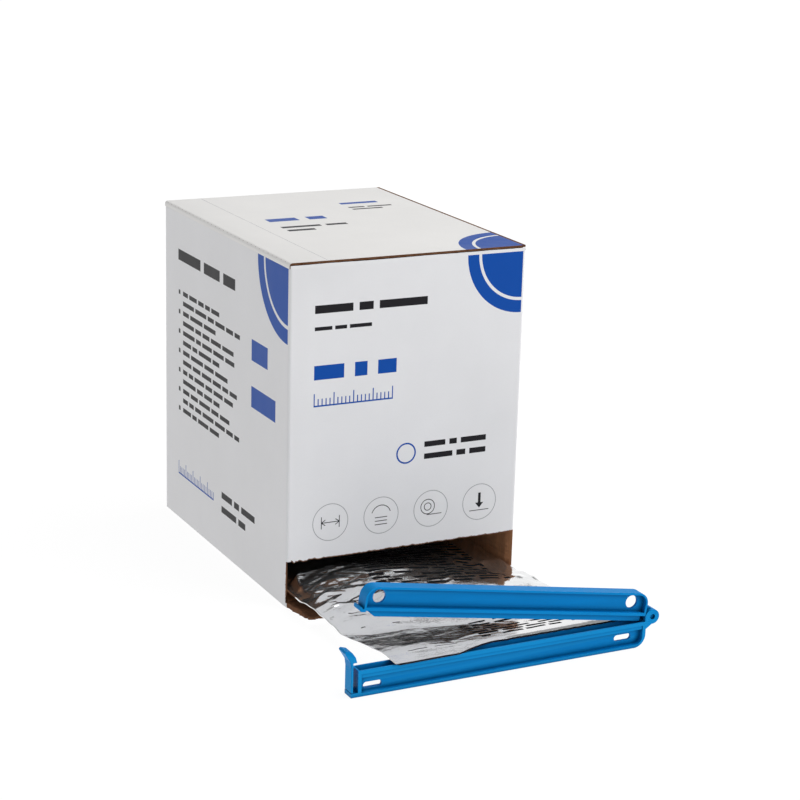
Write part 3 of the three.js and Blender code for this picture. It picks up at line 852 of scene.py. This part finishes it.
def lower_liner(low):
    x = HALF_WIDTH
    y = HALF_DEPTH
    corners = [(-x + LINER, -y), (x, -y), (x, y), (-x + LINER, y)]
    rows = [[(cx, cy, z) for cx, cy in corners] for z in (low, low + LINER)]
    return prism("carton_top_inner_liner", rows, "kraft")


# Torn lip

# How much nearer to the middle each side of the lip is at its end than at the carton.
LIP_TAPER = 2.0


def lip_points(low, high, across, along):
    """Points of the lip's underside and then of its top: frayed sides and end, thinner at the end."""
    length = high.y - low.y
    rise = high.z - low.z - BOARD
    points = []
    for layer in (0, 1):
        for j in range(along + 1):
            share = j / along
            for i in range(across + 1):
                side = 2 * i / across - 1
                half = high.x + 0.2 - LIP_TAPER * share
                fray = 0.9 * roughly(21, share * length + side * 40, 2.0) * abs(side) ** 8
                x = side * (half + fray)
                end = 1.3 * roughly(23, x, 2.6) + 0.9 * roughly(25, x, 0.9)
                y = -HALF_DEPTH + 0.1 - share * (length - 0.6 + end * share ** 6)
                thick = BOARD * (1 - 0.55 * max(0.0, share - 0.55) / 0.45) - 0.06
                peel = 0.3 * roughly(27, x, 1.1) * max(0.0, share - 0.6)
                bottom = 0.03 + rise * share ** 2 + 0.25 * abs(side) ** 12
                washboard = 0.07 * math.sin(2 * math.pi * x / FLUTE_PITCH)
                z = bottom if layer == 0 else bottom + thick + peel + washboard
                points.append((x, y, z))
    return points


def lip_board():
    """The torn part of the front, folded out: brown side up, white print side down."""
    low, high = box_mm("dispensing_lip")
    across, along = 150, 34
    points = lip_points(low, high, across, along)
    faces, sides = slab_faces(across, along)
    lip = add_mesh("torn_lip", points, faces, "torn", "paper", "torn", inks=sides)
    smooth_by_angle(lip, 40)
    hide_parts("dispensing_lip")
    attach(lip, "dispenser")
    fibres = lip_fibres(low, high)
    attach(fibres, "dispenser")


def lip_fibres(low, high):
    """Short paper fibres that stand out of the torn edges."""
    pick = random.Random(17)
    length = high.y - low.y
    points = []
    faces = []
    for number in range(260):
        if number % 2:
            side = pick.choice((-1, 1))
            share = pick.uniform(0.03, 1.0)
            x = side * (high.x - LIP_TAPER * share - 0.2)
            root = Vector((x, -HALF_DEPTH - share * (length - 1.0), 0))
            out = Vector((side, pick.uniform(-1.2, 0.5), pick.uniform(-0.2, 0.3)))
        else:
            share = 1.0
            root = Vector((pick.uniform(-high.x + 3, high.x - 3), low.y + 0.9, 0))
            out = Vector((pick.uniform(-0.9, 0.9), -1.0, pick.uniform(-0.15, 0.35)))
        rise = 2.0 * share ** 2
        root.z = rise + pick.uniform(0.4, 1.5 if share > 0.8 else 2.7)
        tip = root + out.normalized() * pick.uniform(0.6, 1.9)
        tip.z = max(tip.z, 0.15)
        wide = out.cross(Vector((0, 0, 1))).normalized() * pick.uniform(0.08, 0.2)
        start = len(points)
        points += [root - wide, root + wide, tip, root + Vector((0, 0, 0.16))]
        faces += [
            (start, start + 2, start + 1), (start, start + 3, start + 2),
            (start + 1, start + 2, start + 3), (start, start + 1, start + 3),
        ]
    return add_mesh("lip_fibres", points, faces, "torn")


# Film sleeve

# The front edge: on the right the film ends just past the lower arm's back rim.
SHORT_EDGE = -223.5

# How much higher the slack film stands than the CAD's sleeve, along its length.
SLACK = table(
    "y rise",
    (-72, 0.0), (-85, -1.0), (-99, -2.2), (-110, -0.8), (-120, 0.2), (-130, 0.9),
    (-140, 1.2), (-150, 0.9), (-158, 0.5), (-168, 0.1), (-180, 0.0),
)

# The broad trough behind the clamp. x: place across the film. lowest: y of its lowest point.
# rim: y where its even slope reaches the film's height on the clamp.
TROUGH = table(
    "x lowest rim",
    (-76, -160, -215), (-66, -170, -215), (-57, -176, -214), (-40, -176, -215), (-28, -176, -219),
    (-8, -181, -220), (14, -188, -220), (40, -197, -219), (75, -202, -216),
)
TROUGH_SLOPE = 0.168
TROUGH_BACK = 26.0

# Where the film begins to lie on the clamp, how far on it lies there fully, and the height of its
# upper side where it spans the lower arm's channel.
CLAMP_FROM = -214.0
CLAMP_FULLY = 6.0
ON_THE_RIMS = 16.1

# The gap between the film's two sides at a seam, and how fast they part from there.
SEAM_GAP = 0.35
SEAM_OPENING = 0.35

# The film's grid: its columns, the rows behind DENSE_FROM and the closer rows in front of it.
SLEEVE_COLUMNS = 164
BACK_ROWS = 26
FRONT_ROWS = 190
DENSE_FROM = -72.0

# Main folds pressed into the film. x, y: middle. turn: direction in degrees from the carton's
# width. length, width: reach along and across the fold. height: up, or down where negative.
FOLDS = table(
    "x y turn length width height",
    (-64, -88, 70, 17, 4.5, 3.4),
    (-58, -84, 12, 15, 3.2, 1.5),
    (-50, -95, 22, 13, 2.6, -1.1),
    (-55, -104, 8, 16, 3.0, 1.4),
    (-46, -112, 28, 12, 2.8, -1.2),
    (-58, -119, 10, 15, 3.4, 1.5),
    (-44, -128, 24, 15, 3.6, -1.0),
    (-60, -137, -6, 14, 3.0, 1.2),
    (-52, -147, 14, 16, 4.0, -0.8),
    (-30, -136, 34, 16, 4.5, 0.8),
    (-64, -160, 20, 12, 4.0, 0.3),
    (-52, -209, 9, 24, 4.0, 0.35),
    (-12, -207, 12, 24, 3.4, 0.3),
    (58, -92, 40, 12, 3.2, 2.2),
    (48, -84, -20, 12, 3.4, 1.4),
    (30, -104, 50, 14, 5.0, 0.9),
    (26, -118, 20, 12, 4.0, 0.8),
)

# Small random folds: how many, in which part of the film, and how big at most.
CRUMPLES = table(
    "seed count x y turn length width height",
    (1, 100, (-70, -26), (-76, -156), 32, 10, 2.0, 0.5),
    (2, 34, (-40, 66), (-76, -130), 60, 12, 2.8, 0.42),
    (3, 40, (-66, 30), (-150, -222), 16, 20, 3.4, 0.10),
    (4, 26, (10, 72), (-130, -220), 70, 16, 4.0, 0.22),
)


def gaussian(values, sigma, axis):
    """The values smoothed along one axis. sigma: the reach in steps of the grid."""
    reach = max(1, int(3 * sigma))
    kernel = np.exp(-0.5 * (np.arange(-reach, reach + 1) / sigma) ** 2)
    kernel /= kernel.sum()
    pad = [(0, 0), (0, 0)]
    pad[axis] = (reach, reach)
    wide = np.pad(values, pad, mode="edge")
    return np.apply_along_axis(lambda line: np.convolve(line, kernel, mode="valid"), axis, wide)


def blurred(values, along, across):
    return gaussian(gaussian(values, along, 0), across, 1)


def blend(a, b, share):
    return a + (b - a) * share


def column(rows, name):
    return [row[name] for row in rows]


def growing(values, start, reach):
    """0 up to start, then rising to 1 over the reach."""
    return np.clip((values - start) / reach, 0, 1)


def fold_height(x, y, row, curl=1.0):
    """Height of one fold. curl: how much it bends."""
    turn = math.radians(row["turn"])
    along = (x - row["x"]) * math.cos(turn) + (y - row["y"]) * math.sin(turn)
    across = -(x - row["x"]) * math.sin(turn) + (y - row["y"]) * math.cos(turn)
    bend = across + 0.012 * curl * along ** 2
    ridge = np.exp(-np.sqrt((bend / row["width"]) ** 2 + 0.02) * 1.6)
    return row["height"] * ridge * np.exp(-((along / row["length"]) ** 2))


def crumpled(x, y):
    """Height that the folds add to the film's upper side, in millimetres."""
    height = np.zeros_like(x)
    for row in FOLDS:
        height += fold_height(x, y, row)
    for group in CRUMPLES:
        pick = random.Random(group["seed"])
        for _ in range(group["count"]):
            height += fold_height(x, y, {
                "x": pick.uniform(*group["x"]),
                "y": pick.uniform(*group["y"]),
                "turn": pick.uniform(-1, 1) * group["turn"],
                "length": group["length"] * pick.uniform(0.5, 1.4),
                "width": group["width"] * pick.uniform(0.7, 1.5),
                "height": group["height"] * pick.choice((-1, 1)) * pick.uniform(0.5, 1.3),
            }, pick.uniform(-2, 2))
    return height


def trough(x, y, height):
    """How far the film sags behind the clamp: an even slope there, and a long one behind it."""
    lowest = np.interp(x, column(TROUGH, "x"), column(TROUGH, "lowest"))
    rim = np.interp(x, column(TROUGH, "x"), column(TROUGH, "rim"))
    slope = ON_THE_RIMS - TROUGH_SLOPE * (np.minimum(y, lowest) - rim)
    share = np.clip(1 - (y - lowest) / TROUGH_BACK, 0, 1)
    return -gaussian(np.maximum(height - slope, 0) * share * share * (3 - 2 * share), 1.5, 0)


def node_tree(node):
    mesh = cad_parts[node].data
    points = [vertex.co / MM for vertex in mesh.vertices]
    return BVHTree.FromPolygons(points, [tuple(face.vertices) for face in mesh.polygons]), points


def cast(tree, x, y, downwards):
    """Height at which a plumb line meets the tree from above or below, or None."""
    start = Vector((x, y, 300.0 if downwards else -50.0))
    hit = tree.ray_cast(start, Vector((0, 0, -1.0 if downwards else 1.0)))
    return None if hit[0] is None else hit[0].z


def front_reach(tree, x, back, front):
    """The y of the film's cut front edge at x, found by halving."""
    inside, outside = back, front
    for _ in range(12):
        middle = (inside + outside) / 2
        if cast(tree, x, middle, True) is None:
            outside = middle
        else:
            inside = middle
    return inside


def front_edge(tree, left, right, shares, low_y):
    """The y of the film's cut edge in each column: the CAD's edge, shorter on the right, ragged."""
    fronts = []
    for share in shares:
        x = left + (right - left) * min(max(share, 0.01), 0.99)
        fronts.append(front_reach(tree, x, -215.0, low_y - 1.0) + 0.02)
    fronts = gaussian(np.array(fronts)[None, :], 3.0, 1)[0]
    fronts = blend(fronts, np.maximum(fronts, SHORT_EDGE), growing(shares, 0.27, 0.16))
    at = shares * SLEEVE_WIDTH
    ragged = [0.4 * roughly(31, s, 3.0) + 0.45 * roughly(33, s, 1.3) for s in at]
    return fronts + np.array(ragged) * np.clip((shares - 0.25) / 0.2, 0.1, 1)


def sleeve_grid():
    """Places and heights of the film's two sides, on a grid that ends at the cut front edge."""
    tree, vertices = node_tree("foil_sleeve")
    low, high = box_mm("foil_sleeve")
    stations = sorted({round(point.y, 3) for point in vertices if point.y > -221.0}, reverse=True)
    lefts = [min(p.x for p in vertices if abs(p.y - y) < 0.01) for y in stations]
    rights = [max(p.x for p in vertices if abs(p.y - y) < 0.01) for y in stations]
    shares = np.linspace(0, 1, SLEEVE_COLUMNS + 1)
    fronts = front_edge(tree, lefts[-1], rights[-1], shares, low.y)
    x = np.zeros((BACK_ROWS + FRONT_ROWS + 1, SLEEVE_COLUMNS + 1))
    y = np.zeros_like(x)
    for j in range(x.shape[0]):
        if j < BACK_ROWS:
            y[j] = high.y + (DENSE_FROM - high.y) * j / BACK_ROWS
        else:
            y[j] = DENSE_FROM + (fronts - DENSE_FROM) * (j - BACK_ROWS) / FRONT_ROWS
        left = np.interp(-y[j], [-s for s in stations], lefts)
        right = np.interp(-y[j], [-s for s in stations], rights)
        x[j] = left + (right - left) * shares
    over = np.zeros_like(x)
    under = np.zeros_like(x)
    for j in range(x.shape[0]):
        for i in range(x.shape[1]):
            cx = x[j, i] + (0.05 if i == 0 else -0.05 if i == SLEEVE_COLUMNS else 0)
            cy = min(max(y[j, i], fronts[i] + 0.1), high.y - 0.1)
            top = cast(tree, cx, cy, True)
            bottom = cast(tree, cx, cy, False)
            over[j, i] = over[j - 1, i] if top is None else top
            under[j, i] = under[j - 1, i] if bottom is None else bottom
    return x, y, over, under, shares[None, :]


def seam_waves(y, from_seam):
    """The wavy seams, which are calmer towards the clamp."""
    waves = 0.45 * np.sin(y / 5.3) * np.exp(-from_seam / 6.0)
    waves += 0.25 * np.sin(y / 2.1 + 1.0) * np.exp(-from_seam / 4.0)
    waves *= 1 - 0.75 * growing(-y, 155.0, 15.0)
    return waves * calm(y)


def calm(y):
    """1 over most of the film, and 0.1 where the clamp holds it."""
    return 1 - growing(-y, 206.0, 12.0) * 0.9


def film_heights(x, y, over, under, shares):
    """The CAD's two sides, smoothed, laid on the clamp's rims, sagging, folded and closed at the seams."""
    on_clamp = growing(-y, -CLAMP_FROM, CLAMP_FULLY)
    over = blend(blurred(over, 4.0, 4.0), blurred(over, 1.3, 6.0), on_clamp)
    under = blend(blurred(under, 4.0, 4.0), blurred(under, 1.3, 6.0), on_clamp)
    over = np.maximum(over, on_clamp * ON_THE_RIMS)
    under = np.maximum(under, on_clamp * (ON_THE_RIMS - 1.0))
    from_seam = np.minimum(shares, 1 - shares) * SLEEVE_WIDTH
    free = growing(from_seam, 1.5, 7.0)
    waves = seam_waves(y, from_seam)
    slack = gaussian(np.interp(-y, [-at for at in column(SLACK, "y")], column(SLACK, "rise")), 4.0, 0)
    sag = trough(x, y, over) * np.where(shares < 0.5, 1.0, free)
    over = over + crumpled(x, y) * free * calm(y) + waves + slack * free + sag
    under = under + np.maximum(waves, 0) * 0.6
    under = np.maximum(under, over - SEAM_GAP - SEAM_OPENING * from_seam)
    under = np.minimum(under, over - SEAM_GAP)
    closing = np.clip(1 - from_seam / 1.2, 0, 1)
    middle = blend(over, under, 0.15)
    return blend(over, middle, closing), blend(under, middle, closing)


def film_faces(rows, columns):
    """Faces of the film's upper and lower side, which share their points along both seams."""
    def below(j, i):
        if i in (0, columns - 1):
            return j * columns + i
        return rows * columns + j * (columns - 2) + i - 1

    faces = []
    for j in range(rows - 1):
        for i in range(columns - 1):
            a = j * columns + i
            faces.append((a, a + columns, a + columns + 1, a + 1))
            faces.append((below(j, i), below(j, i + 1), below(j + 1, i + 1), below(j + 1, i)))
    return faces


def film_sleeve():
    x, y, over, under, shares = sleeve_grid()
    over, under = film_heights(x, y, over, under, shares)
    rows, columns = x.shape
    steps = np.hypot(np.diff(y, axis=0), np.diff(over, axis=0))
    length = np.vstack([np.zeros((1, columns)), np.cumsum(steps, axis=0)])
    whole = [(j, i) for j in range(rows) for i in range(columns)]
    inner = [(j, i) for j, i in whole if 0 < i < columns - 1]
    points = [(x[at], y[at], over[at]) for at in whole] + [(x[at], y[at], under[at]) for at in inner]
    uvs = [(shares[0, i], length[j, i] / SLEEVE_LENGTH) for j, i in whole]
    uvs += [(shares[0, i], -1.0) for j, i in inner]
    mesh = bpy.data.meshes.new("film_sleeve")
    mesh.from_pydata([Vector(point) * MM for point in points], [], film_faces(rows, columns))
    layer = mesh.uv_layers.new(name="film")
    corners = np.zeros(len(mesh.loops), dtype=np.int32)
    mesh.loops.foreach_get("vertex_index", corners)
    layer.data.foreach_set("uv", np.array(uvs, dtype=np.float32)[corners].ravel())
    mesh.update()
    sleeve = add_object("film_sleeve", mesh, "film")
    mesh.shade_smooth()
    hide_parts("foil_sleeve")
    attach(sleeve, "dispenser")


# Felt pad

def felt_pad():
    """The pad inside the sleeve: a crowned felt slab whose edges are rounded and a little uneven."""
    tree, _ = node_tree("splint_pad")
    low, high = box_mm("splint_pad")
    across, along = 70, 96
    edge_cells = 4
    edge_drop = 1.9
    xs = np.linspace(low.x + 1.2, high.x - 1.6, across + 1)
    ys = np.linspace(high.y - 0.4, low.y + 0.4, along + 1)
    points = []
    for layer, outwards in enumerate((-1, 1)):
        for j, y in enumerate(ys):
            height = 0.0
            for i, x in enumerate(xs):
                found = cast(tree, x, y, outwards > 0)
                height = height if found is None else found
                edge = min(i, across - i, j, along - j) / edge_cells
                drop = 0.0 if edge >= 1 else (1 - math.sqrt(1 - (1 - edge) ** 2)) * edge_drop
                uneven = 0.12 * noise.noise(Vector((x / 4, y / 4, layer * 9.0)))
                points.append((x, y, height - outwards * drop + uneven))
    faces, _ = slab_faces(across, along)
    pad = add_mesh("felt_pad", points, faces, "felt")
    pad.data.shade_smooth()
    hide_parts("splint_pad")
    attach(pad, "dispenser")


# Roll

ROLL_RADIUS = 90.0
TURN_PITCH = 5.7
TURNS = 12.2
STRIP = 5.4
STEPS_PER_TURN = 64

# Half thickness of the wound strip across its width, from the left seam to the right one.
STRIP_PROFILE = table(
    "across half",
    (0.0, 0.35), (0.045, 0.5), (0.07, 1.7), (0.10, 2.5), (0.40, 2.7),
    (0.72, 2.5), (0.76, 1.7), (0.80, 0.7), (0.92, 0.45), (1.0, 0.35),
)


def wound_strip():
    low, high = box_mm("splint_roll")
    axis_z = low.z + ROLL_RADIUS
    steps = int(TURNS * STEPS_PER_TURN)
    loop = [(row["across"], -row["half"]) for row in STRIP_PROFILE]
    loop += [(row["across"], row["half"]) for row in STRIP_PROFILE[::-1]]
    rows = []
    for step in range(steps + 1):
        turns_in = (steps - step) / STEPS_PER_TURN
        angle = -math.pi / 2 + 2 * math.pi * turns_in
        radius = ROLL_RADIUS - STRIP / 2 - turns_in * TURN_PITCH
        row = []
        for across, half in loop:
            wave = 0.12 * math.sin(step * 0.37 + across * 20)
            r = radius + half + (wave if abs(half) < 1 else 0)
            x = low.x + (high.x - low.x) * across
            row.append((x, r * math.cos(angle), axis_z + r * math.sin(angle)))
        rows.append(row)
    roll = prism("wound_strip", rows, "shaded plain film")
    smooth_by_angle(roll, 50)
    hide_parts("splint_roll")
    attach(roll, "dispenser")


# Clamp

def moulded(name, node, body, radius):
    """A copy of a CAD node with rounded edges."""
    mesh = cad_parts[node].data.copy()
    mesh.materials.clear()
    work = bmesh.new()
    work.from_mesh(mesh)
    bmesh.ops.remove_doubles(work, verts=work.verts, dist=2e-6)
    bmesh.ops.dissolve_limit(work, angle_limit=math.radians(0.6), verts=work.verts, edges=work.edges)
    work.to_mesh(mesh)
    work.free()
    piece = add_object(name, mesh, "plastic")
    bevel = piece.modifiers.new("edge radius", "BEVEL")
    bevel.width = radius * MM
    bevel.segments = 3
    bevel.limit_method = "ANGLE"
    bevel.angle_limit = math.radians(32)
    bevel.use_clamp_overlap = True
    bevel.harden_normals = False
    normals = piece.modifiers.new("flat faces", "WEIGHTED_NORMAL")
    normals.keep_sharp = True
    piece.data.shade_smooth()
    apply_modifiers(piece)
    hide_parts(node)
    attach(piece, body)


# radius: that of the moulded edges.
CLAMP_PIECES = table(
    "name node body radius",
    ("lower_arm", "clamp_lower_arm", "dispenser", 0.28),
    ("upper_arm", "clamp_upper_arm", "clamp_upper", 0.28),
    ("barbed_tongue", "latch_tongue", "dispenser", 0.3),
    ("pin", "hinge_pin", "dispenser", 0.2),
)


# Camera, floor and light, in metres

# The camera was fitted to the carton's corners in the photograph.
CAMERA_PLACE = (-0.54813, -1.16468, 0.46226)
CAMERA_AZIMUTH = math.radians(-27.015)
CAMERA_ELEVATION = math.radians(15.993)
CAMERA_ROLL = math.radians(1.604)
FOCAL_PIXELS = 2131.08
PHOTO_PIXELS = 800
SENSOR = 36.0


def camera():
    back = Vector((
        math.sin(CAMERA_AZIMUTH) * math.cos(CAMERA_ELEVATION),
        -math.cos(CAMERA_AZIMUTH) * math.cos(CAMERA_ELEVATION),
        math.sin(CAMERA_ELEVATION),
    ))
    level = Vector((math.cos(CAMERA_AZIMUTH), math.sin(CAMERA_AZIMUTH), 0))
    upright = back.cross(level)
    right = math.cos(CAMERA_ROLL) * level + math.sin(CAMERA_ROLL) * upright
    up = math.cos(CAMERA_ROLL) * upright - math.sin(CAMERA_ROLL) * level
    pose = Matrix((right, up, back)).transposed().to_4x4()
    pose.translation = Vector(CAMERA_PLACE)
    lens = bpy.data.cameras.new("camera")
    lens.sensor_width = SENSOR
    lens.lens = FOCAL_PIXELS / PHOTO_PIXELS * SENSOR
    made = bpy.data.objects.new("camera", lens)
    made.matrix_world = pose
    bpy.context.collection.objects.link(made)
    bpy.context.scene.camera = made


def area_light(name, place, target, size, power):
    lamp = bpy.data.lights.new(name, "AREA")
    lamp.shape = "RECTANGLE"
    lamp.size = size[0]
    lamp.size_y = size[1]
    lamp.energy = power
    made = bpy.data.objects.new(name, lamp)
    made.location = place
    made.rotation_euler = (Vector(target) - Vector(place)).to_track_quat("-Z", "Y").to_euler()
    bpy.context.collection.objects.link(made)


FLOOR_HALF = 9.0
WALL_Y = 5.0
WALL_TOP = 2.2


def studio():
    half = FLOOR_HALF
    corners = [(-half, -half, 0), (half, -half, 0), (half, half, 0), (-half, half, 0)]
    floor = add_mesh("floor", corners, [(0, 1, 2, 3)], "floor", scale=1)
    floor.location.z = -0.0003
    corners = [(-half, WALL_Y, 0), (half, WALL_Y, 0), (half, WALL_Y, WALL_TOP), (-half, WALL_Y, WALL_TOP)]
    backdrop = add_mesh("backdrop", corners, [(3, 2, 1, 0)], "wall", scale=1)
    world = bpy.data.worlds.new("studio")
    world.use_nodes = True
    background = world.node_tree.nodes["Background"]
    background.inputs["Color"].default_value = (1, 1, 1, 1)
    background.inputs["Strength"].default_value = 0.32
    bpy.context.scene.world = world
    area_light("top softbox", (1.0, -0.4, 1.9), (0, -0.05, 0.1), (2.0, 2.6), 33)
    area_light("front softbox", (1.3, -1.9, 1.1), (0, -0.1, 0.08), (1.4, 1.2), 14)
    bpy.context.scene.view_settings.view_transform = "Standard"


camera()
carton_walls()
carton_top()
lip_board()
film_sleeve()
felt_pad()
wound_strip()
for part in CLAMP_PIECES:
    moulded(**part)
studio()
